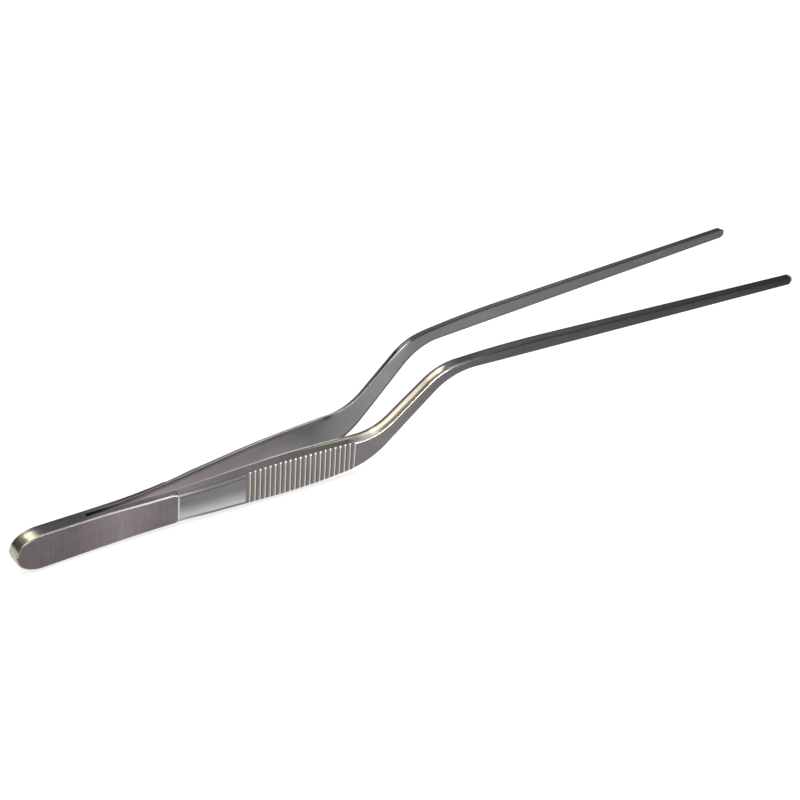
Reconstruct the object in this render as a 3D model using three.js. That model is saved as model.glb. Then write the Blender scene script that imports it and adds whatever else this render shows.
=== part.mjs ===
// Offset tweezers: two forged steel arms, welded together at the tail over a thin spacer.
// Each arm has a flat tail pad, a ridged grip, an upward crank and a slim shank with a serrated tip.
// Its inner face is taller than its outer face, since the top and bottom slope outwards.
// Millimetres. X runs from the tail to the tips, Y is the pinching direction and Z is up.
// The tweezers stand on the lower edges of the grips, and the origin is under the middle of them.
// The drawing below counts x from the tail end, and the exported group moves it to the origin.

import * as THREE from 'three';

// ---- overall ----
const LENGTH = 300;
const TAIL_TONGUE_LENGTH = 10; // the rounded tail end, seen from the side
const TAIL_END_FLAT = 0.1; // share of the height that stays flat at the very end

// ---- tail: spacer and flexure ----
const SPACER_LENGTH = 26;
const SPACER_THICKNESS = 1.6;
const PAD_THICKNESS = 2;
const PAD_END = 57.5; // the raised tail pad ends here, and the arm bends here
const FLEX_GAP = 0.3; // clearance between the fixed pad and the moving arm
const STEP_FADE_END = 80;
const STEP_BELOW_PAD = [
  [PAD_END, 0.2, 0],
  [STEP_FADE_END, 0, 0],
  [LENGTH, 0, 0],
]; // how far the satin face lies below the pad's level

// ---- side view of the inner face: corners of its lower and upper edge as [x, z, fillet radius] ----
const CRANK_TOP = 159.3;
const LOWER_EDGE = [
  [0, 0.93, 0],
  [61.4, 0.99, 58],
  [105.4, -0.34, 192],
  [129, 2.36, 29],
  [CRANK_TOP, 29.3, 21],
  [LENGTH, 25.7, 0],
];
const UPPER_EDGE = [
  [0, 14.15, 0],
  [48.6, 13.04, 320],
  [97.6, 15.66, 300],
  [130.4, 14.58, 19],
  [154.2, 33.15, 21],
  [179.6, 34.12, 420],
  [LENGTH, 29.15, 0],
];

// ---- plan view: the arm's inner face as [x, y, fillet radius], and its thickness ----
const INNER_FACE = [
  [0, SPACER_THICKNESS / 2, 0],
  [39.4, SPACER_THICKNESS / 2, 250],
  [116, 6.12, 1000],
  [138, 7.25, 600],
  [165, 9.2, 600],
  [LENGTH, 18.05, 0],
];
const THICKNESS = [
  [0, PAD_THICKNESS, 0],
  [28, PAD_THICKNESS, 100],
  [46, 2.25, 100],
  [54, 2.25, 60],
  [68, 3.05, 60],
  [115, 3.1, 400],
  [138, 3.25, 400],
  [165, 2.95, 400],
  [210, 2.9, 0],
  [LENGTH, 2.4, 0],
];

// ---- outer edges: the top slopes from the inner edge to a bevel, which runs down to the face ----
// Each row is [x, size, 0], and the lower edges are the same upside down.
const SLOPE_DROP = [
  [0, 0.12, 0],
  [34, 0.15, 0],
  [PAD_END, 0.7, 0],
  [75, 1.23, 0],
  [104, 1.52, 0],
  [120, 1.45, 0],
  [136, 1.45, 0],
  [165, 0.7, 0],
  [180, 0.52, 0],
  [210, 0.52, 0],
  [LENGTH, 0.2, 0],
];
const PAD_BEVEL_ACROSS = 0.3;
const PAD_BEVEL_DOWN = 0.3;
const BEVEL_ACROSS = [
  [PAD_END, 0.5, 0],
  [120, 0.5, 0],
  [135, 0.4, 0],
  [165, 0.4, 0],
  [180, 0.7, 0],
  [LENGTH, 0.7, 0],
];
const BEVEL_DOWN = [
  [PAD_END, 1.35, 0],
  [80, 1.0, 0],
  [105, 0.68, 0],
  [120, 0.4, 0],
  [150, 0.45, 0],
  [165, 0.35, 0],
  [180, 0.5, 0],
  [LENGTH, 0.45, 0],
];
const QUARTER_TURN = Math.PI / 2;

// ---- grip ridges on the outer face ----
const RIDGE_COUNT = 22;
const FIRST_RIDGE = 83.1;
const RIDGE_PITCH = 1.863;
const GROOVE_DEPTH = 0.45;

// ---- serrated tip on the inner face ----
const TIP_TEETH_START = 269.4;
const TIP_TEETH_COUNT = 24;
const TIP_TOOTH_PITCH = 1.2;
const TIP_TOOTH_DEPTH = 0.2;
const TIP_NOSE = 1.5; // length of the blunt facets at the very tip
const TIP_NOSE_HEIGHT_SHARE = 0.6;
const TIP_NOSE_THICKNESS_SHARE = 0.75;

// ---- how many cross-sections each stretch is drawn with ----
const TONGUE_SECTIONS = 9;
const PAD_SECTIONS = 9;
const SATIN_SECTIONS = 6;
const CRANK_SECTIONS = 22;
const CRANK_SECTIONS_END = CRANK_TOP + 12;
const SHANK_SECTIONS = 8;
const SHANK_SECTIONS_START = CRANK_SECTIONS_END + 8;

// A straight-sided line through corners with round fillets, as a function of x.
function filletedLine(corners) {
  const arcs = [];
  for (let i = 1; i < corners.length - 1; i += 1) {
    const [x, v, radius] = corners[i];
    const before = Math.atan2(v - corners[i - 1][1], x - corners[i - 1][0]);
    const after = Math.atan2(corners[i + 1][1] - v, corners[i + 1][0] - x);
    const turn = after - before;
    if (radius === 0 || turn === 0) continue;
    const reach = radius * Math.tan(Math.abs(turn) / 2);
    const side = Math.sign(turn);
    const startX = x - reach * Math.cos(before);
    const startV = v - reach * Math.sin(before);
    arcs.push({
      startX,
      endX: x + reach * Math.cos(after),
      centreX: startX - side * radius * Math.sin(before),
      centreV: startV + side * radius * Math.cos(before),
      radius,
      side,
    });
  }
  return (x) => {
    const arc = arcs.find((a) => x > a.startX && x < a.endX);
    if (arc) {
      const across = x - arc.centreX;
      return arc.centreV - arc.side * Math.sqrt(arc.radius ** 2 - across ** 2);
    }
    let i = 1;
    while (i < corners.length - 1 && x > corners[i][0]) i += 1;
    const [x0, v0] = corners[i - 1];
    const [x1, v1] = corners[i];
    return v0 + ((v1 - v0) * (x - x0)) / (x1 - x0);
  };
}

const lowerEdge = filletedLine(LOWER_EDGE);
const upperEdge = filletedLine(UPPER_EDGE);
const innerFace = filletedLine(INNER_FACE);
const thickness = filletedLine(THICKNESS);
const slopeDrop = filletedLine(SLOPE_DROP);
const bevelAcross = filletedLine(BEVEL_ACROSS);
const bevelDown = filletedLine(BEVEL_DOWN);
const stepBelowPad = filletedLine(STEP_BELOW_PAD);

// How far x has come into the blunt tip: 0 before it and 1 at the very end.
function intoNose(x) {
  return Math.max(0, (x - (LENGTH - TIP_NOSE)) / TIP_NOSE);
}

// Lower and upper z at x, with the tail's elliptical tongue and the blunt tip.
function heightRange(x) {
  const low = lowerEdge(x);
  const high = upperEdge(x);
  const middle = (low + high) / 2;
  let share = 1;
  if (x < TAIL_TONGUE_LENGTH) {
    const along = (TAIL_TONGUE_LENGTH - x) / TAIL_TONGUE_LENGTH;
    share = Math.sqrt(1 - along ** 2 * (1 - TAIL_END_FLAT ** 2));
  }
  if (intoNose(x) > 0) share = 1 - intoNose(x) * (1 - TIP_NOSE_HEIGHT_SHARE);
  const half = ((high - low) / 2) * share;
  return [middle - half, middle + half];
}

// One cross-section at x, as a ring of points round it.
// A groove of 1 is a full groove of the grip, and a tooth of 1 is a full notch of the tip.
function section(x, { isPad = false, groove = 0, tooth = 0 }) {
  const [low, high] = heightRange(x);
  const back = innerFace(x);
  const full = thickness(x) * (1 - intoNose(x) * (1 - TIP_NOSE_THICKNESS_SHARE));
  const inner = back + tooth * TIP_TOOTH_DEPTH;
  const face = back + full - (isPad ? 0 : stepBelowPad(x));
  const across = isPad ? PAD_BEVEL_ACROSS : bevelAcross(x);
  const down = isPad ? PAD_BEVEL_DOWN : bevelDown(x);
  const cut = groove * GROOVE_DEPTH;
  const slope = slopeDrop(x);
  const faceDrop = slope + down * (1 - cut / across);
  const half = [
    [inner, 0],
    [face - across, slope],
    [face - cut, faceDrop],
  ];
  const ring = [
    ...half.map(([y, drop]) => [y, low + drop]),
    ...half.toReversed().map(([y, drop]) => [y, high - drop]),
  ];
  return ring.map(([y, z]) => new THREE.Vector3(x, y, z));
}

// A closed solid through rings of equal length, capped at both ends.
function loft(rings) {
  const count = rings[0].length;
  const positions = rings.flat().flatMap((p) => [p.x, p.y, p.z]);
  const indices = [];
  for (let r = 0; r + 1 < rings.length; r += 1) {
    for (let k = 0; k < count; k += 1) {
      const a = r * count + k;
      const b = r * count + ((k + 1) % count);
      indices.push(a, b, a + count, b, b + count, a + count);
    }
  }
  const last = (rings.length - 1) * count;
  for (let k = 1; k + 1 < count; k += 1) {
    indices.push(0, k + 1, k);
    indices.push(last, last + k, last + k + 1);
  }
  const geometry = new THREE.BufferGeometry();
  geometry.setAttribute('position', new THREE.Float32BufferAttribute(positions, 3));
  geometry.setIndex(indices);
  geometry.computeVertexNormals();
  return geometry;
}

// The same solid on the other side of the middle plane.
function mirrored(geometry) {
  const copy = geometry.clone();
  const position = copy.getAttribute('position');
  for (let i = 0; i < position.count; i += 1) position.setY(i, -position.getY(i));
  const index = copy.getIndex().array;
  for (let i = 0; i < index.length; i += 3) {
    [index[i + 1], index[i + 2]] = [index[i + 2], index[i + 1]];
  }
  copy.computeVertexNormals();
  return copy;
}

// Evenly spaced numbers from start to end, both included.
function spread(start, end, count) {
  return Array.from({ length: count }, (_, i) => start + ((end - start) * i) / (count - 1));
}

// Stations round the tail tongue, closer together where it is most curved.
function tongueStations() {
  return spread(0, QUARTER_TURN, TONGUE_SECTIONS).map((a) => TAIL_TONGUE_LENGTH * (1 - Math.cos(a)));
}

function tailPad() {
  const padEnd = PAD_END - FLEX_GAP / 2;
  const stations = [...tongueStations(), ...spread(SPACER_LENGTH, padEnd, PAD_SECTIONS)];
  return loft(stations.map((x) => section(x, { isPad: true })));
}

function tailSpacer() {
  const half = SPACER_THICKNESS / 2;
  const stations = [...tongueStations(), SPACER_LENGTH];
  const rings = stations.map((x) => {
    const [low, high] = heightRange(x);
    return [
      new THREE.Vector3(x, -half, low),
      new THREE.Vector3(x, half, low),
      new THREE.Vector3(x, half, high),
      new THREE.Vector3(x, -half, high),
    ];
  });
  return loft(rings);
}

// A groove and the crest after it for each ridge of the grip.
function ridgeStations() {
  return Array.from({ length: RIDGE_COUNT }, (_, i) => FIRST_RIDGE + i * RIDGE_PITCH).flatMap((x) => [
    { x: x - RIDGE_PITCH / 2, groove: 1 },
    { x },
  ]);
}

// A land and the notch after it for each tooth of the tip.
function toothStations() {
  const starts = Array.from({ length: TIP_TEETH_COUNT }, (_, i) => TIP_TEETH_START + i * TIP_TOOTH_PITCH);
  return starts.flatMap((x) => [{ x }, { x: x + TIP_TOOTH_PITCH / 2, tooth: 1 }]);
}

function arm() {
  const plain = (list) => list.map((x) => ({ x }));
  const gripEnd = FIRST_RIDGE + (RIDGE_COUNT - 0.5) * RIDGE_PITCH;
  const stations = [
    ...plain(spread(PAD_END + FLEX_GAP / 2, FIRST_RIDGE - RIDGE_PITCH, SATIN_SECTIONS)),
    ...ridgeStations(),
    ...plain(spread(gripEnd, CRANK_SECTIONS_END, CRANK_SECTIONS)),
    ...plain(spread(SHANK_SECTIONS_START, TIP_TEETH_START - TIP_TOOTH_PITCH, SHANK_SECTIONS)),
    ...toothStations(),
    ...plain([LENGTH - TIP_NOSE, LENGTH]),
  ];
  return loft(stations.map(({ x, ...cuts }) => section(x, cuts)));
}

function steelMesh(name, geometry, { colour, roughness }) {
  const material = new THREE.MeshStandardMaterial({ color: colour, roughness, metalness: 1 });
  const mesh = new THREE.Mesh(geometry, material);
  mesh.name = name;
  return mesh;
}

const BRUSHED_STEEL = { colour: 0x9a9492, roughness: 0.4 };
const SATIN_STEEL = { colour: 0x84868a, roughness: 0.45 };

const tweezers = new THREE.Group();
tweezers.position.x = -LENGTH / 2;
tweezers.add(
  steelMesh('tail_spacer', tailSpacer(), BRUSHED_STEEL),
  steelMesh('left_tail_pad', tailPad(), BRUSHED_STEEL),
  steelMesh('right_tail_pad', mirrored(tailPad()), BRUSHED_STEEL),
  steelMesh('left_arm', arm(), SATIN_STEEL),
  steelMesh('right_arm', mirrored(arm()), SATIN_STEEL),
);

export default tweezers;
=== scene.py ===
"""The looks of long offset tweezers: two sprung steel arms welded at the tail over a thin spacer.

Each arm is one lofted mesh, finer than its CAD nodes, that runs across its joint. Sizes are in
millimetres and x counts from the tail end, as in the CAD drawing, until a mesh is made in metres.
"""

import math

import bmesh
import bpy
import numpy as np
from mathutils import Matrix, Vector


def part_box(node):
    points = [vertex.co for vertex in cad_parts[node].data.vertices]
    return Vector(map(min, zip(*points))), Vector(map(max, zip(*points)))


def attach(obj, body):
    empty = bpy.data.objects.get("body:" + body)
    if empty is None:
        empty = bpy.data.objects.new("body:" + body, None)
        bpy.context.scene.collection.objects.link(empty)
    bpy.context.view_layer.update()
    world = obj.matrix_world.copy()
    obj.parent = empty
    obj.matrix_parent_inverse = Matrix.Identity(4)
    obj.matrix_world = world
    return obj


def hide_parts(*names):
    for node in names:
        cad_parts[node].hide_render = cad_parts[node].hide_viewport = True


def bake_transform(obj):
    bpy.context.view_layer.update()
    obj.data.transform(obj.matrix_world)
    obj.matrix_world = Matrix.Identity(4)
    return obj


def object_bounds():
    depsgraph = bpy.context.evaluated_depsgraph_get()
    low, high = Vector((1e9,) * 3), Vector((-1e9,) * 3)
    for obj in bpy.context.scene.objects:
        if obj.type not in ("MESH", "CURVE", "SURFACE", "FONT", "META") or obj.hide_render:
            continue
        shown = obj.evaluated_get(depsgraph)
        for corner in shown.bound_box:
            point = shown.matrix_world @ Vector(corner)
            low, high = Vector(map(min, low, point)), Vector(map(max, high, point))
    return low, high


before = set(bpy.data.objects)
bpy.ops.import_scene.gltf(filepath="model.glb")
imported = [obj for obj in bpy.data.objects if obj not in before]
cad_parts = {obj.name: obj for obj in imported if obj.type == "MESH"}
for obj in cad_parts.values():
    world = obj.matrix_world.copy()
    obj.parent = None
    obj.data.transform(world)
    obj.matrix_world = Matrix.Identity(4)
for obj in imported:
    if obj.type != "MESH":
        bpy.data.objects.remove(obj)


def corners_of(bounds):
    """The lowest and the highest corner as plain lists."""
    return [[float(v) for v in corner] for corner in bounds]


CAD_BOX = corners_of(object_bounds())
MM = 0.001

# ---- driving sizes, from the frame where it holds them ----
LENGTH = round((CAD_BOX[1][0] - CAD_BOX[0][0]) / MM, 3)
TAIL_X = CAD_BOX[0][0]
SPACER_LOW, SPACER_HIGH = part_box("tail_spacer")
SPACER_LENGTH = (SPACER_HIGH.x - SPACER_LOW.x) / MM
SPACER_THICKNESS = (SPACER_HIGH.y - SPACER_LOW.y) / MM
PAD_THICKNESS = 2.0
PAD_END = 57.5
TONGUE_LENGTH = 10.0
TONGUE_POWER = 2.15  # 2 is an ellipse, and more is squarer

# ---- side view of the inner face, plan view and thickness: corners as (x, value, fillet radius) ----
LOWER_EDGE = [
    (0, 0.93, 0),
    (61.4, 0.99, 58),
    (105.4, -0.34, 192),
    (129, 2.36, 29),
    (159.3, 29.3, 21),
    (LENGTH, 25.7, 0),
]
UPPER_EDGE = [
    (0, 14.15, 0),
    (48.6, 13.04, 320),
    (97.6, 15.66, 300),
    (130.4, 14.58, 19),
    (154.2, 33.15, 21),
    (179.6, 34.12, 420),
    (LENGTH, 29.15, 0),
]
INNER_FACE = [
    (0, SPACER_THICKNESS / 2, 0),
    (39.4, SPACER_THICKNESS / 2, 250),
    (116, 6.12, 1000),
    (138, 7.25, 600),
    (165, 9.2, 600),
    (LENGTH, 18.05, 0),
]
THICKNESS = [
    (0, PAD_THICKNESS, 0),
    (28, PAD_THICKNESS, 100),
    (46, 2.25, 100),
    (54, 2.25, 60),
    (68, 3.05, 60),
    (115, 3.1, 400),
    (138, 3.25, 400),
    (165, 2.95, 400),
    (210, 2.9, 0),
    (LENGTH, 2.4, 0),
]
STEP_DEPTH = 0.2
STEP_FADE_END = 80.0

# ---- edges: the top slopes down from the inner edge to a bevel, which runs down to the face ----
INNER_EDGE = [
    (0, 0.02),
    (SPACER_LENGTH, 0.02),
    (SPACER_LENGTH + 0.6, 0.14),
    (84, 0.22),
    (150, 0.22),
    (180, 0.14),
    (LENGTH, 0.14),
]
SLOPE_DROP = [
    (0, 0.1),
    (34, 0.15),
    (PAD_END, 0.7),
    (75, 1.23),
    (104, 1.52),
    (120, 1.45),
    (136, 1.45),
    (165, 0.7),
    (180, 0.52),
    (210, 0.52),
    (LENGTH, 0.2),
]
BEVEL_ACROSS = [(PAD_END, 0.5), (120, 0.5), (135, 0.4), (165, 0.4), (180, 0.7), (LENGTH, 0.7)]
BEVEL_DOWN = [
    (PAD_END, 1.35),
    (80, 1.0),
    (105, 0.68),
    (120, 0.4),
    (150, 0.45),
    (165, 0.35),
    (180, 0.5),
    (LENGTH, 0.45),
]
PAD_BEVEL = 0.3
TONGUE_BEVEL = 0.42
PAD_CORNER_RADIUS = 2.0
PAD_SQUARENESS = 1.3
ARM_SQUARENESS = [(PAD_END, 1.35), (150, 1.35), (175, 1.7), (LENGTH, 1.8)]
FACE_CROWN = [(0, 0.02), (PAD_END, 0.02), (PAD_END + 0.6, 0.12), (110, 0.1), (165, 0.05), (LENGTH, 0.05)]

# ---- grip ridges and tip teeth ----
RIDGE_COUNT = 22
FIRST_RIDGE = 83.1
RIDGE_PITCH = 1.863
GROOVE_DEPTH = 0.45
CREST_SOFTNESS = 0.035  # share of the pitch
TOOTH_START = 269.4
TOOTH_COUNT = 24
TOOTH_PITCH = 1.2
TOOTH_DEPTH = 0.2
NOSE_LENGTH = 1.5
NOSE_HEIGHT_SHARE = 0.6
NOSE_THICKNESS_SHARE = 0.75


def filleted_line(corners):
    """Straight lines through corners with round fillets, as a function of an array of x."""
    arcs = []
    for before, here, after in zip(corners, corners[1:], corners[2:]):
        x, v, radius = here
        turn_in = math.atan2(v - before[1], x - before[0])
        turn_out = math.atan2(after[1] - v, after[0] - x)
        turn = turn_out - turn_in
        if radius == 0 or turn == 0:
            continue
        reach = radius * math.tan(abs(turn) / 2)
        side = math.copysign(1, turn)
        start_x = x - reach * math.cos(turn_in)
        start_v = v - reach * math.sin(turn_in)
        centre_x = start_x - side * radius * math.sin(turn_in)
        centre_v = start_v + side * radius * math.cos(turn_in)
        arcs.append((start_x, x + reach * math.cos(turn_out), centre_x, centre_v, radius, side))
    xs = [corner[0] for corner in corners]
    vs = [corner[1] for corner in corners]

    def line(x):
        x = np.asarray(x, float)
        value = np.interp(x, xs, vs)
        for start, end, centre_x, centre_v, radius, side in arcs:
            inside = (x > start) & (x < end)
            across = np.where(inside, x - centre_x, 0)
            value = np.where(inside, centre_v - side * np.sqrt(radius**2 - across**2), value)
        return value

    return line


lower_edge = filleted_line(LOWER_EDGE)
upper_edge = filleted_line(UPPER_EDGE)
inner_face = filleted_line(INNER_FACE)
thickness = filleted_line(THICKNESS)


def ramp(x, start, end):
    """0 before start, 1 after end, and a smooth rise between them."""
    t = np.clip((np.asarray(x, float) - start) / (end - start), 0, 1)
    return t * t * (3 - 2 * t)


def along(table, x):
    """A value that changes in straight lines along the arm."""
    return np.interp(x, [row[0] for row in table], [row[1] for row in table])


# ---- outline: the upper and lower edge at each station, with their outward directions ----
def height_range(x):
    """Lower and upper z at x, with the round tail and the blunt tip."""
    low, high = lower_edge(x), upper_edge(x)
    middle, half = (low + high) / 2, (high - low) / 2
    back = np.clip((TONGUE_LENGTH - x) / TONGUE_LENGTH, 0, 1)
    half = half * (1 - back**TONGUE_POWER) ** (1 / TONGUE_POWER)
    nose = np.clip((x - (LENGTH - NOSE_LENGTH)) / NOSE_LENGTH, 0, 1)
    half = half * (1 - nose * (1 - NOSE_HEIGHT_SHARE))
    return middle - half, middle + half


def outline(x):
    """Points and outward unit directions of the lower and upper edge, as (x, z) pairs."""
    low, high = height_range(x)
    edges = []
    for z, sign in ((low, -1), (high, 1)):
        path = np.stack([x, z], 1)
        tangent = np.gradient(path, axis=0)
        tangent[0] = (0, sign)
        tangent /= np.linalg.norm(tangent, axis=1)[:, None]
        outward = np.stack([-tangent[:, 1], tangent[:, 0]], 1) * sign
        edges.append((path, outward))
    return edges


# ---- stations along the arm ----
def tongue_stations():
    angles = np.linspace(0, math.pi / 2, 34)
    return TONGUE_LENGTH * (1 - np.cos(angles) ** (2 / TONGUE_POWER))


def step_stations():
    """Close together round the pad's corner and down its step."""
    corner = PAD_END - PAD_CORNER_RADIUS * np.cos(np.linspace(0, math.pi / 2, 14))
    step = PAD_END + np.array([0.06, 0.12, 0.18, 0.24, 0.32, 0.42, 0.6])
    return np.concatenate([corner, step])


def ridge_stations():
    shares = np.array([-0.5, -0.4, -0.3, -0.21, -0.14, -0.08, -0.04, 0, 0.04, 0.08, 0.14, 0.21, 0.3, 0.4])
    crests = FIRST_RIDGE + RIDGE_PITCH * np.arange(RIDGE_COUNT)
    return (crests[:, None] + shares[None, :] * RIDGE_PITCH).ravel()


def tooth_stations():
    shares = np.array([0, 0.18, 0.34, 0.42, 0.5, 0.58, 0.66, 0.82])
    starts = TOOTH_START + TOOTH_PITCH * np.arange(TOOTH_COUNT)
    return (starts[:, None] + shares[None, :] * TOOTH_PITCH).ravel()


def arm_stations():
    grip_end = FIRST_RIDGE + (RIDGE_COUNT - 0.5) * RIDGE_PITCH
    slot = SPACER_LENGTH + np.array([-0.3, 0, 0.2, 0.4, 0.6])
    nose = LENGTH - NOSE_LENGTH * np.array([1, 0.92, 0.5, 0.08, 0])
    return np.unique(
        np.concatenate(
            [
                tongue_stations(),
                np.arange(TONGUE_LENGTH + 1, SPACER_LENGTH - 0.5),
                slot,
                np.arange(SPACER_LENGTH + 1.5, PAD_END - PAD_CORNER_RADIUS - 0.2),
                step_stations(),
                np.arange(PAD_END + 1.2, FIRST_RIDGE - RIDGE_PITCH / 2 - 0.2, 0.8),
                ridge_stations(),
                np.arange(grip_end, 176, 0.6),
                np.arange(177, TOOTH_START - 0.5, 1.5),
                tooth_stations(),
                nose,
            ]
        ).round(4)
    )


# ---- cuts into the arm ----
def groove_cut(x):
    """Scalloped grooves with sharp crests, over the grip only."""
    from_first = (x - FIRST_RIDGE) / RIDGE_PITCH
    share = from_first - np.round(from_first)
    away = np.sqrt(share**2 + CREST_SOFTNESS**2) - CREST_SOFTNESS
    depth = GROOVE_DEPTH * (1 - (1 - 2 * np.clip(away, 0, 0.5)) ** 2)
    on = (from_first > -0.5 - 1e-6) & (from_first < RIDGE_COUNT - 1)
    return np.where(on, depth, 0)


def tooth_cut(x):
    share = ((x - TOOTH_START) / TOOTH_PITCH) % 1
    depth = TOOTH_DEPTH * np.clip(1.15 - abs(share - 0.5) * 3.4, 0, 1)
    on = (x > TOOTH_START) & (x < TOOTH_START + TOOTH_COUNT * TOOTH_PITCH)
    return np.where(on, depth, 0)


def bevel_sizes(x):
    """Reach across, reach down and squareness of the outer bevel at each station."""
    pad = PAD_BEVEL + (TONGUE_BEVEL - PAD_BEVEL) * (1 - ramp(x, 2, 8))
    into_corner = np.clip((x - (PAD_END - PAD_CORNER_RADIUS)) / PAD_CORNER_RADIUS, 0, 1)
    quarter = 1 - np.sqrt(1 - into_corner**2)
    on_arm = x > PAD_END
    share = np.where(on_arm, 1, quarter)
    across = pad + (along(BEVEL_ACROSS, x) - pad) * share
    down = pad + (along(BEVEL_DOWN, x) - pad) * share
    squareness = np.where(on_arm, along(ARM_SQUARENESS, x), PAD_SQUARENESS)
    return across, down, squareness


# ---- one arm as a grid of points ----
INNER_EDGE_POINTS = 4
TOP_SHARES = [0.04, 0.09, 0.14, 0.19, 0.25, 0.32, 0.4, 0.48, 0.56, 0.64, 0.72, 0.82, 0.92, 0.985]
BEVEL_POINTS = 9
FACE_SHARES = [0.012, 0.05, 0.11, 0.18, 0.26, 0.34, 0.42, 0.5, 0.58, 0.66, 0.74, 0.82, 0.89, 0.95, 0.988]
BACK_POINTS = 8


def arm_grid(x):
    """Points of the left arm as (stations, ring, 3), and the region of each point of the ring."""
    (low_path, low_out), (high_path, high_out) = outline(x)
    nose = np.clip((x - (LENGTH - NOSE_LENGTH)) / NOSE_LENGTH, 0, 1)
    full = thickness(x) * (1 - nose * (1 - NOSE_THICKNESS_SHARE))
    back = inner_face(x)
    step = np.where(x > PAD_END, STEP_DEPTH * (1 - ramp(x, PAD_END + 2, STEP_FADE_END)), 0)
    face = back + full - step * ramp(x, PAD_END, PAD_END + 0.2)
    face_crown = along(FACE_CROWN, x)
    across, down, squareness = bevel_sizes(x)
    half = np.linalg.norm(high_path - low_path, axis=1) / 2
    slope = np.minimum(along(SLOPE_DROP, x), 0.3 * half)
    down = np.minimum(down, 0.6 * half)
    edge = np.minimum(along(INNER_EDGE, x), half * 0.9)
    cut = groove_cut(x)
    tooth = tooth_cut(x)

    bevel_across = across - face_crown
    widest = np.clip(1 - cut / bevel_across, 0.05, 1) ** (squareness / 2)
    last_angle = np.arcsin(widest)
    bevel_start = face - across

    def side_points(path, outward):
        """Points from the inner face over this edge to the outer face."""
        ring = []
        for a in np.linspace(0, math.pi / 2, INNER_EDGE_POINTS):
            y = back + tooth + edge * (1 - math.cos(a))
            ring.append((y, edge * (1 - math.sin(a)), "inner_edge"))
        top_start = back + edge
        for s in TOP_SHARES:
            ring.append((top_start + (bevel_start - top_start) * s, slope * s, "top"))
        for s in np.linspace(0, 1, BEVEL_POINTS):
            a = last_angle * s
            y = bevel_start + bevel_across * np.sin(a) ** (2 / squareness)
            drop = slope + down * (1 - np.cos(a) ** (2 / squareness))
            ring.append((y, drop, "bevel"))
        points = []
        for y, drop, _ in ring:
            at = path - outward * drop[:, None]
            points.append(np.stack([at[:, 0], y, at[:, 1]], 1))
        return points, [label for _, _, label in ring]

    top, top_labels = side_points(high_path, high_out)
    bottom, bottom_labels = side_points(low_path, low_out)
    outer = []
    for s in FACE_SHARES:
        at = top[-1] + (bottom[-1] - top[-1]) * s
        at[:, 1] = face - cut - face_crown * (2 * s - 1) ** 2
        outer.append(at)
    inner = []
    for s in np.linspace(0, 1, BACK_POINTS)[1:-1]:
        inner.append(bottom[0] + (top[0] - bottom[0]) * s)
    grid = np.stack(top + outer + bottom[::-1] + inner, 1)
    labels = top_labels + ["face"] * len(outer) + bottom_labels[::-1] + ["back"] * len(inner)
    return grid, labels


# ---- meshes ----
def grid_mesh(name, grid, values):
    """A closed mesh round the ring and along the stations, with named values at its points."""
    stations, ring = grid.shape[:2]
    points = grid.reshape(-1, 3)
    faces = []
    for s in range(stations - 1):
        for r in range(ring):
            a = s * ring + r
            b = s * ring + (r + 1) % ring
            faces.append((a, b, b + ring, a + ring))
    centre = len(points)
    points = np.concatenate([points, grid[-1].mean(0)[None]])
    last = (stations - 1) * ring
    faces += [(last + r, last + (r + 1) % ring, centre) for r in range(ring)]
    mesh = bpy.data.meshes.new(name)
    mesh.from_pydata([tuple(p) for p in points], [], faces)
    for key, value in values.items():
        flat = np.append(value.reshape(-1), value[-1].mean())
        attribute = mesh.attributes.new(key, "FLOAT", "POINT")
        attribute.data.foreach_set("value", flat.astype(np.float32))
    rest = mesh.attributes.new("rest_mm", "FLOAT_VECTOR", "POINT")
    rest.data.foreach_set("vector", points.astype(np.float32).ravel())
    return mesh


def finish_mesh(mesh, mirror):
    """To metres in the row frame, on its own side, welded where the outline closes, and shaded."""
    work = bmesh.new()
    work.from_mesh(mesh)
    for vertex in work.verts:
        x, y, z = vertex.co
        vertex.co = (x * MM + TAIL_X, (-y if mirror else y) * MM, z * MM)
    bmesh.ops.remove_doubles(work, verts=work.verts, dist=1e-6)
    bmesh.ops.dissolve_degenerate(work, edges=work.edges, dist=1e-7)
    bmesh.ops.recalc_face_normals(work, faces=work.faces)
    work.to_mesh(mesh)
    work.free()
    mesh.polygons.foreach_set("use_smooth", [True] * len(mesh.polygons))
    mesh.set_sharp_from_angle(angle=math.radians(32))
    mesh.update()


def piece(name, mesh, material):
    item = bpy.data.objects.new(name, mesh)
    bpy.context.scene.collection.objects.link(item)
    mesh.materials.append(material)
    return item


# ---- where one finish gives way to the next, as the start and end of the change ----
SATIN_TO_GRIP = (81.2, 81.9)
GRIP_TO_CRANK = (122.0, 122.6)
CRANK_POLISH_BEGINS = (118, 126)
CRANK_POLISH_ENDS = (156, 159)
SHANK_BEGINS = (155, 163)
LEFT_CRANK_BEGINS = (121, 124)
LEFT_CRANK_ENDS = (154, 157)
TONGUE_GOLD_ENDS = (7, 9)
TONGUE_POLISH_ENDS = (6, 12)
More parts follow.
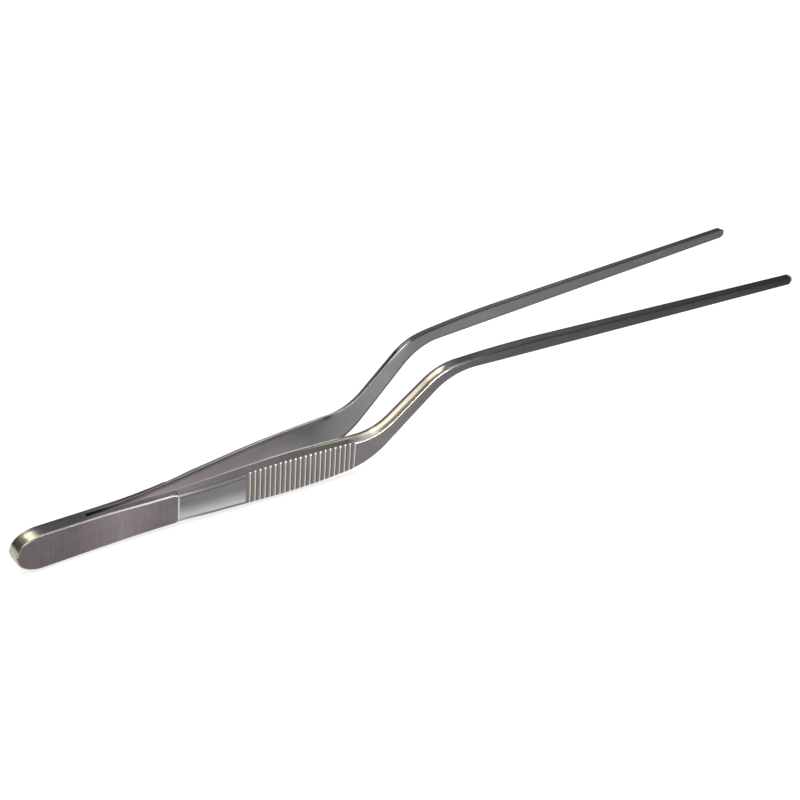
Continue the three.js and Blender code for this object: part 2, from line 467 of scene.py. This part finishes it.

# ---- how light the steel is along the arm, as the share of light that it reflects, with painted light and shade in it ----
# These tones were matched by colour to one view of the tweezers, so they hold some of its light.
# They are partly painted light: painted highlights where that view caught the lamps, painted shade where it
# saw dark surroundings, and a lighter inner face near the slot for light bouncing between the arms.
FACE_TONE = [
    (0, 0.105), (20, 0.105), (38, 0.17), (52, 0.13), (81, 0.12), (82, 0.14), (122, 0.14), (122.5, 0.145),
    (140, 0.15), (158, 0.11), (168, 0.085), (180, 0.072), (210, 0.065), (240, 0.048), (270, 0.05),
    (LENGTH, 0.022),
]
# Painted light: the satin face is painted lighter low down and darker high up.
SATIN_FACE_LOW = 0.52
SATIN_FACE_HIGH = 0.15
TOP_TONE = [
    (0, 0.34), (0.7, 0.32), (1.2, 0.1), (2.5, 0.1), (3.1, 0.22), (5.6, 0.22), (7.6, 0.09), (12, 0.064),
    (24, 0.063), (32, 0.115), (45, 0.06), (57.4, 0.046), (57.6, 0.08), (68, 0.068), (78, 0.06), (84, 0.07),
    (100, 0.066), (112, 0.067), (120, 0.055), (123, 0.15), (129, 0.12), (133, 0.045), (155, 0.045),
    (160, 0.033), (168, 0.058), (180, 0.094), (210, 0.078), (240, 0.057), (270, 0.04), (LENGTH, 0.017),
]
# Painted highlight and painted shade along the inner edge of the top: a light line on the pad and grip, a
# dark line on the crank.
INNER_LINE_TONE = [
    (26, 0.05), (31, 0.08), (36, 0.15), (57, 0.14), (70, 0.16), (84, 0.2), (92, 0.29), (116, 0.34),
    (121, 0.08), (125, 0.028), (157, 0.028), (161, 0.04), (180, 0.07), (240, 0.052), (LENGTH, 0.02),
]
BEVEL_TONE = [
    (0, 0.25), (24, 0.3), (50, 0.55), (57.4, 0.55), (57.6, 0.35), (68, 0.18), (80, 0.15), (122, 0.85),
    (155, 1.0), (158, 0.22), (166, 0.1), (173, 0.05), (240, 0.045), (LENGTH, 0.03),
]
BACK_TONE = [
    (0, 0.25), (30, 0.3), (38, 0.7), (44, 0.67), (50, 0.7), (60, 0.65), (70, 0.5), (85, 0.44), (100, 0.34),
    (115, 0.16), (130, 0.19), (145, 0.22), (160, 0.145), (180, 0.16), (210, 0.13), (240, 0.118),
    (LENGTH, 0.1),
]
# Painted light and shade on the left arm: its top, bevel and inner line are made darker or lighter than the
# right arm's where the light falls on it differently.
LEFT_TOP_SHARE = [(120, 1), (124, 0.7), (154, 0.7), (158, 2.2), (165, 1.8), (LENGTH, 1.9)]
LEFT_BEVEL_SHARE = [(120, 1), (124, 0.3), (154, 0.3), (158, 1), (LENGTH, 1)]
INNER_LINE_TONE_LEFT = [(120, 0.1), (124, 0.22), (145, 0.17), (152, 0.4), (158, 0.06)]
LINE_SHARE = [(120, 0.19), (127, 0.31), (157, 0.31), (165, 0.19)]
# Painted highlights on the grip's crests, on the face and where they meet the bevel, and painted shade on
# the bevel between them.
CREST_BEVEL_TONE = [(84, 0.4), (100, 0.6), (120, 0.9)]
CREST_LINE_WIDTH = 0.075
CREST_BEVEL_WIDTH = 0.2
GROOVE_BEVEL_TONE = 0.07
EDGE_WARMTH = 0.4
PAD_EDGE_POLISH = 0.4
TONGUE_POLISH = 0.9
BACK_ROUGHENING = 1.2

# ---- a painted highlight band along the top of the crank, which starts as a thin line on the grip ----
BAND_STRENGTH = [(100, 0), (106, 0.6), (112, 0.9), (123, 1), (LENGTH, 1)]
BAND_NEAR_SHARE = [(100, 0.28), (122, 0.28), (129, 0.34), (157, 0.34)]
BAND_FAR_SHARE = [(100, 0.36), (112, 0.42), (121, 0.46), (126, 0.54), (131, 0.7), (157, 0.78)]
BAND_END = 156.3
BAND_END_CURVE = 14.52
BAND_MIDDLE_SHARE = 0.38
BAND_TONE = [(98, 0.19), (119, 0.25), (124, 0.2), (132, 0.2), (142, 0.19), (150, 0.21), (157, 0.2)]
BAND_TONE_LEFT = [(98, 0.08), (150, 0.06), (152, 0.9), (LENGTH, 0.9)]


def crank_highlight_band(at, share):
    """How far a point of the top lies in the painted highlight band, from its x and its share across."""
    rounded_end = BAND_END - BAND_END_CURVE * (share - BAND_MIDDLE_SHARE) ** 2
    near, far = along(BAND_NEAR_SHARE, at), along(BAND_FAR_SHARE, at)
    across = ramp(share, near - 0.05, near + 0.04) * (1 - ramp(share, far - 0.06, far + 0.06))
    return along(BAND_STRENGTH, at) * across * (1 - ramp(at, rounded_end - 0.5, rounded_end + 0.5))


def ridge_share(at):
    """Distance from the nearest crest of the grip, as a share of the pitch."""
    from_first = (at - FIRST_RIDGE) / RIDGE_PITCH
    return from_first - np.round(from_first)


def ridge_tone(at):
    """Painted highlight where a ridge rises to its crest, and painted shade just behind the crest."""
    share = ridge_share(at)
    rise = np.exp(-(((share + 0.16) / 0.13) ** 2))
    shade = np.exp(-(((share - 0.16) / 0.12) ** 2))
    return 1 + 0.35 * rise - 0.4 * shade


def crest_lines(at, width):
    return np.exp(-((ridge_share(at) / width) ** 2))


def share_across(labels, region):
    """How far across its own region each point of the ring is, and 0 outside that region."""
    shares = np.zeros(len(labels))
    places = [i for i, label in enumerate(labels) if label == region]
    if region == "face":
        shares[places] = FACE_SHARES
    else:
        one_side = np.linspace(0, 1, len(places) // 2)
        shares[places] = np.concatenate([one_side, one_side[::-1]])
    return shares[None, :]


# ---- finish and painted light and shade of each region, from 0 to 1, but a polish below 0 is rougher than satin ----
def arm_finish(side, x, grid, labels):
    """How light (painted light and shade included), warm, golden, polished, brushed and blasted each point
    of the arm is, and where it has painted highlights.
    """
    shape = grid.shape[:2]
    at = np.repeat(x[:, None], shape[1], 1)
    label = np.array(labels)[None, :].repeat(shape[0], 0)
    is_face, is_back = label == "face", label == "back"
    is_bevel, is_top, is_inner = label == "bevel", label == "top", label == "inner_edge"
    low, high = height_range(x)
    height_share = (grid[:, :, 2] - low[:, None]) / np.maximum(high - low, 0.2)[:, None]
    from_inner = grid[:, :, 1] - inner_face(x)[:, None]
    top_share = np.clip(from_inner / (thickness(x) - along(BEVEL_ACROSS, x))[:, None], 0, 1)

    on_pad = 1 - ramp(at, PAD_END - 0.05, PAD_END + 0.1)
    satin = ramp(at, PAD_END, PAD_END + 0.3) * (1 - ramp(at, *SATIN_TO_GRIP))
    grip = ramp(at, *SATIN_TO_GRIP) * (1 - ramp(at, *GRIP_TO_CRANK))
    crank = ramp(at, *CRANK_POLISH_BEGINS) * (1 - ramp(at, *CRANK_POLISH_ENDS))
    shank = ramp(at, *SHANK_BEGINS)
    # painted highlight band along the top of the crank
    band = crank_highlight_band(at, top_share) * is_top

    # painted light: lighter towards the bottom of the satin face
    on_satin = SATIN_FACE_LOW + (SATIN_FACE_HIGH - SATIN_FACE_LOW) * ramp(height_share, 0, 0.62)
    on_face = along(FACE_TONE, at) * (1 - satin) + satin * on_satin
    on_face = on_face * (1 + grip * (ridge_tone(at) - 1))
    face_share = share_across(labels, "face")
    # painted shade: a dark line along the top of the satin face, under the bevel
    on_face = on_face * (1 - 0.45 * satin * np.exp(-((face_share / 0.06) ** 2)))

    line_share = along(LINE_SHARE, at)
    # painted light and shade line along the inner edge of the top
    inner_line = 1 - ramp(top_share, line_share - 0.05, line_share + 0.03)
    inner_line = inner_line * ramp(at, SPACER_LENGTH, SPACER_LENGTH + 1)
    on_top = along(TOP_TONE, at)
    on_top = on_top + inner_line * (along(INNER_LINE_TONE, at) - on_top)
    band_tone = along(BAND_TONE if side == "right" else BAND_TONE_LEFT, at)
    on_top = on_top + band * (band_tone - on_top)

    bevel_share = share_across(labels, "bevel")
    pad_corner = ramp(at, PAD_END - PAD_CORNER_RADIUS, PAD_END - 0.8) * on_pad
    # Painted shade: the upper half of the bevel takes the darker top tone, so its bright line stays next to
    # the face.
    upper_half_of_bevel = (1 - ramp(bevel_share, 0.35, 0.65)) * (height_share > 0.5)
    painted_bevel_shade = (satin + pad_corner + crank) * upper_half_of_bevel
    on_bevel = along(BEVEL_TONE, at)
    # painted highlights at the crests on the bevel, painted shade in the grooves
    crests = along(CREST_BEVEL_TONE, at) * crest_lines(at, CREST_BEVEL_WIDTH)
    on_bevel = on_bevel + grip * (GROOVE_BEVEL_TONE + crests - on_bevel)
    on_bevel = on_bevel + painted_bevel_shade * (along(TOP_TONE, at) - on_bevel)
    on_inner = along(INNER_LINE_TONE, at)
    # Painted shade: a dimmer reflection tint along the crank's inner edge, and on the left arm's crank top
    # and bevel.
    rim = np.where(is_inner, 1 - 0.8 * crank, 1.0)
    # painted light and shade on the left arm's crank
    if side == "left":
        on_left_crank = ramp(at, *LEFT_CRANK_BEGINS) * (1 - ramp(at, *LEFT_CRANK_ENDS))
        on_left_crank = on_left_crank * (height_share > 0.5)
        on_inner = on_inner + on_left_crank * (along(INNER_LINE_TONE_LEFT, at) - on_inner)
        rim = 1 - 0.4 * on_left_crank * (is_top | is_bevel)
        on_top = on_top * (band + (1 - band) * along(LEFT_TOP_SHARE, at))
        on_bevel = on_bevel * along(LEFT_BEVEL_SHARE, at)
    tone = np.select(
        [is_face, is_back, is_bevel, is_inner],
        [on_face, along(BACK_TONE, at), on_bevel, on_inner],
        on_top,
    )

    is_edge = is_bevel | is_top | is_inner
    warm = np.where(is_face, 0.95 * on_pad + 0.5 * grip + 0.1 * crank + 0.5 * shank, 0.1)
    warm = np.where(is_back, 0.5 * (1 - ramp(at, 60, 125)) + 0.5 * ramp(at, 275, 290), warm)
    warm = np.where(is_edge, EDGE_WARMTH + 0.2 * grip, warm)
    # The golden tint colours the painted highlights on the tongue's end and on the crank's highlight band
    # cream.
    tongue = 1 - ramp(at, *TONGUE_GOLD_ENDS)
    gold = np.where(is_edge, np.maximum(0.5 * ramp(at, 95, 112) * (1 - shank), tongue), 0)
    gold = np.maximum(gold, band)
    gold = np.maximum(gold, 0.3 * grip * is_face)
    if side == "left":
        gold = gold * (1 - 0.6 * crank)

    polish = np.where(is_edge, PAD_EDGE_POLISH * on_pad + crank + 0.6 * shank, 0.1)
    polish = np.maximum(polish, np.where(is_face, 0.35 * shank, 0))
    polish = np.maximum(polish, TONGUE_POLISH * (1 - ramp(at, *TONGUE_POLISH_ENDS)) * ~is_face)
    polish = np.where(is_back, -BACK_ROUGHENING * (1 - ramp(at, 80, 125)), polish)
    brushed = np.where(is_face, on_pad, 0.5 * on_pad * is_top)
    blasted = (satin + grip) * is_top
    # Painted highlights: bright lines on the grip's crests and along the pad's step.
    step_line = np.exp(-(((at - PAD_END - 0.12) / 0.22) ** 2))
    painted_highlight = np.clip(crest_lines(at, CREST_LINE_WIDTH) * grip + step_line, 0, 1) * is_face
    return {
        "tone": tone,
        "warm": np.clip(warm, 0, 1),
        "gold": np.clip(gold, 0, 1),
        "polish": polish,
        "brushed": brushed,
        "blasted": np.clip(blasted, 0, 1),
        "painted_highlight": painted_highlight,
        "rim": rim,
    }


# ---- material ----
# how light the painted highlights on the crests and the step are
PAINTED_HIGHLIGHT_TONE = 0.75
SATIN_ROUGHNESS = 0.36
POLISHED_ROUGHNESS = 0.17


def steel_material(name):
    """Steel whose finish, painted light and shade and painted highlights follow the values stored on the
    mesh.
    """
    material = bpy.data.materials.new(name)
    material.use_nodes = True
    tree = material.node_tree
    nodes, links = tree.nodes, tree.links
    shader = nodes["Principled BSDF"]
    shader.inputs["Metallic"].default_value = 1.0

    def value_of(key):
        node = nodes.new("ShaderNodeAttribute")
        node.attribute_name = key
        return node.outputs["Fac"]

    def plug(socket, source):
        if isinstance(source, (int, float)):
            socket.default_value = source
        else:
            links.new(source, socket)

    def maths(operation, a, b=0.0, c=0.0):
        node = nodes.new("ShaderNodeMath")
        node.operation = operation
        for socket, source in zip(node.inputs, (a, b, c)):
            plug(socket, source)
        return node.outputs[0]

    rest = nodes.new("ShaderNodeAttribute")
    rest.attribute_name = "rest_mm"

    def noise(scale, detail=3.0, roughness=0.6):
        """Noise in the rest shape's millimetres, as a number round 0.5."""
        stretch = nodes.new("ShaderNodeMapping")
        stretch.inputs["Scale"].default_value = scale
        links.new(rest.outputs["Vector"], stretch.inputs["Vector"])
        node = nodes.new("ShaderNodeTexNoise")
        node.inputs["Scale"].default_value = 1.0
        node.inputs["Detail"].default_value = detail
        node.inputs["Roughness"].default_value = roughness
        links.new(stretch.outputs["Vector"], node.inputs["Vector"])
        return node.outputs["Fac"]

    def mix(a, b, share):
        return maths("MULTIPLY_ADD", maths("SUBTRACT", b, a), share, a)

    grain = noise((5.0, 0.16, 0.16), 4.0, 0.7)
    speckle = noise((3.0, 3.0, 3.0), 2.0, 0.7)
    cloud = noise((0.09, 0.25, 0.25), 3.0, 0.55)
    fine = noise((14.0, 0.8, 0.8), 2.0, 0.6)

    brushed = value_of("brushed")
    blasted = value_of("blasted")
    painted_highlight = value_of("painted_highlight")
    polish = value_of("polish")

    varied = maths("MULTIPLY_ADD", maths("SUBTRACT", grain, 0.5), maths("MULTIPLY", brushed, 0.8), 1.0)
    spots = maths("MULTIPLY", maths("SUBTRACT", speckle, 0.5), maths("MULTIPLY", blasted, 1.8))
    varied = maths("ADD", varied, spots)
    varied = maths("ADD", varied, maths("MULTIPLY", maths("SUBTRACT", cloud, 0.5), 0.35))
    tone = maths("MULTIPLY", value_of("tone"), varied)
    # painted highlights on the grip's crests and the pad's step
    tone = mix(tone, PAINTED_HIGHLIGHT_TONE, painted_highlight)

    tint = nodes.new("ShaderNodeMix")
    tint.data_type = "RGBA"
    tint.inputs["A"].default_value = (1.0, 0.99, 0.99, 1)
    tint.inputs["B"].default_value = (1.12, 0.95, 0.965, 1)
    links.new(value_of("warm"), tint.inputs["Factor"])
    golden = nodes.new("ShaderNodeMix")
    golden.data_type = "RGBA"
    golden.inputs["B"].default_value = (1.08, 1.0, 0.78, 1)
    links.new(value_of("gold"), golden.inputs["Factor"])
    links.new(tint.outputs["Result"], golden.inputs["A"])
    colour = nodes.new("ShaderNodeVectorMath")
    colour.operation = "SCALE"
    links.new(golden.outputs["Result"], colour.inputs[0])
    links.new(tone, colour.inputs["Scale"])
    links.new(colour.outputs["Vector"], shader.inputs["Base Color"])

    # painted shade: the rim value dims the reflection tint
    links.new(value_of("rim"), shader.inputs["Specular Tint"])

    rough = mix(SATIN_ROUGHNESS, POLISHED_ROUGHNESS, polish)
    rough = maths("MULTIPLY_ADD", maths("SUBTRACT", cloud, 0.5), 0.12, rough)
    rough = maths("MULTIPLY_ADD", maths("SUBTRACT", grain, 0.5), maths("MULTIPLY", brushed, 0.2), rough)
    rough = maths("MULTIPLY_ADD", blasted, 0.08, rough)
    links.new(rough, shader.inputs["Roughness"])

    height = maths("MULTIPLY", grain, brushed)
    height = maths("MULTIPLY_ADD", speckle, maths("MULTIPLY", blasted, 1.2), height)
    height = maths("MULTIPLY_ADD", fine, maths("MULTIPLY", maths("SUBTRACT", 1.0, polish), 0.12), height)
    bump = nodes.new("ShaderNodeBump")
    bump.inputs["Strength"].default_value = 0.5
    bump.inputs["Distance"].default_value = 0.00003
    links.new(height, bump.inputs["Height"])
    links.new(bump.outputs["Normal"], shader.inputs["Normal"])
    return material


# ---- pieces ----
def make_arm(side, material):
    """One arm from tail to tip, as one mesh across its joint."""
    x = arm_stations()
    grid, labels = arm_grid(x)
    mesh = grid_mesh(f"{side}_arm_steel", grid, arm_finish(side, x, grid, labels))
    finish_mesh(mesh, mirror=side == "right")
    item = piece(f"{side}_arm_steel", mesh, material)
    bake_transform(item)
    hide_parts(f"{side}_tail_pad", f"{side}_arm")


def make_spacer(material):
    """The thin plate between the arms, ground flush with them."""
    flat_part = np.append(np.arange(TONGUE_LENGTH + 1, SPACER_LENGTH), SPACER_LENGTH)
    x = np.unique(np.concatenate([tongue_stations(), flat_part]))
    (low_path, _), (high_path, _) = outline(x)
    half = SPACER_THICKNESS / 2
    rows = []
    for path, levels in ((high_path, np.linspace(-half, half, 5)), (low_path, np.linspace(half, -half, 5))):
        for y in levels:
            rows.append(np.stack([path[:, 0], np.full_like(x, y), path[:, 1]], 1))
    grid = np.stack(rows, 1)
    shape = grid.shape[:2]
    at = np.repeat(x[:, None], shape[1], 1)
    values = {
        "tone": along(TOP_TONE, at),
        "warm": np.full(shape, EDGE_WARMTH),
        "gold": 1 - ramp(at, *TONGUE_GOLD_ENDS),
        "polish": np.maximum(PAD_EDGE_POLISH, TONGUE_POLISH * (1 - ramp(at, *TONGUE_POLISH_ENDS))),
        "brushed": np.full(shape, 0.5),
        "blasted": np.zeros(shape),
        "painted_highlight": np.zeros(shape),
        "rim": np.ones(shape),
    }
    mesh = grid_mesh("tail_spacer_steel", grid, values)
    finish_mesh(mesh, mirror=False)
    item = piece("tail_spacer_steel", mesh, material)
    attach(item, "tail")
    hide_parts("tail_spacer")


# ---- studio ----
def make_floor():
    bpy.ops.mesh.primitive_plane_add(size=8, location=(0, 0, CAD_BOX[0][2]))
    floor = bpy.context.object
    floor.name = "studio_floor"
    material = bpy.data.materials.new("pale_floor")
    material.use_nodes = True
    shader = material.node_tree.nodes["Principled BSDF"]
    shader.inputs["Base Color"].default_value = (0.3, 0.3, 0.3, 1)
    shader.inputs["Roughness"].default_value = 0.9
    shader.inputs["Specular IOR Level"].default_value = 0.0
    shader.inputs["Emission Color"].default_value = (1, 1, 1, 1)
    shader.inputs["Emission Strength"].default_value = 0.75
    floor.data.materials.append(material)


def make_softbox(name, direction, distance, size, power, colour):
    """A rectangular light in that direction from the tweezers, facing them."""
    data = bpy.data.lights.new(name, "AREA")
    data.shape = "RECTANGLE"
    data.size, data.size_y = size
    data.energy = power
    data.color = colour
    light = bpy.data.objects.new(name, data)
    bpy.context.scene.collection.objects.link(light)
    away = Vector(direction).normalized()
    light.location = away * distance
    light.rotation_euler = away.to_track_quat("Z", "Y").to_euler()
    light.visible_camera = False


def make_world():
    """Darker at the horizon and lighter overhead. The camera itself sees plain white."""
    world = bpy.data.worlds.new("studio")
    bpy.context.scene.world = world
    world.use_nodes = True
    nodes, links = world.node_tree.nodes, world.node_tree.links
    background = nodes["Background"]
    direction = nodes.new("ShaderNodeTexCoord")
    split = nodes.new("ShaderNodeSeparateXYZ")
    ramp_node = nodes.new("ShaderNodeValToRGB")
    stops = [(0.0, 0.5), (0.08, 0.35), (0.25, 0.38), (0.42, 0.6), (0.6, 0.82), (1.0, 0.8)]
    elements = ramp_node.color_ramp.elements
    while len(elements) < len(stops):
        elements.new(0.5)
    for element, (place, grey) in zip(elements, stops):
        element.position = place
        element.color = (grey * 0.97, grey * 0.99, grey * 1.03, 1)
    links.new(direction.outputs["Generated"], split.inputs["Vector"])
    links.new(split.outputs["Z"], ramp_node.inputs["Fac"])
    seen = nodes.new("ShaderNodeLightPath")
    choose = nodes.new("ShaderNodeMix")
    choose.data_type = "RGBA"
    choose.inputs["B"].default_value = (1, 1, 1, 1)
    links.new(seen.outputs["Is Camera Ray"], choose.inputs["Factor"])
    links.new(ramp_node.outputs["Color"], choose.inputs["A"])
    links.new(choose.outputs["Result"], background.inputs["Color"])


def make_lights():
    make_softbox("camera_side_softbox", (-0.39, -0.26, 0.88), 1.2, (0.6, 1.1), 9, (1.0, 0.97, 0.92))
    make_softbox("back_softbox", (-0.03, 0.67, 0.72), 1.2, (0.5, 0.3), 3, (1.0, 0.95, 0.85))
    make_softbox("low_front_strip", (0.17, -0.93, 0.25), 1.2, (1.0, 0.2), 5.5, (1, 0.99, 0.97))
    make_softbox("overhead", (0.1, 0.05, 1), 1.4, (1.0, 1.0), 10, (1, 1, 1))


def make_camera():
    """The photograph's view, as the directions of the camera's own axes and its place."""
    right = Vector((0.82230, -0.56708, 0.04741)).normalized()
    back = Vector((-0.49584, -0.67313, 0.54867)).normalized()
    up = back.cross(right).normalized()
    right = up.cross(back)
    data = bpy.data.cameras.new("camera")
    data.lens = 136.99
    data.shift_x = -0.0006
    data.shift_y = 0.0006
    data.clip_start = 0.01
    camera = bpy.data.objects.new("camera", data)
    bpy.context.scene.collection.objects.link(camera)
    turned = Matrix((right, up, back)).transposed().to_4x4()
    camera.matrix_world = Matrix.Translation((-0.507307, -0.683818, 0.573905)) @ turned
    bpy.context.scene.camera = camera


steel = steel_material("tweezer_steel")
make_arm("left", steel)
make_arm("right", steel)
make_spacer(steel)
make_floor()
make_world()
make_lights()
make_camera()
bpy.context.scene.view_settings.view_transform = "Standard"
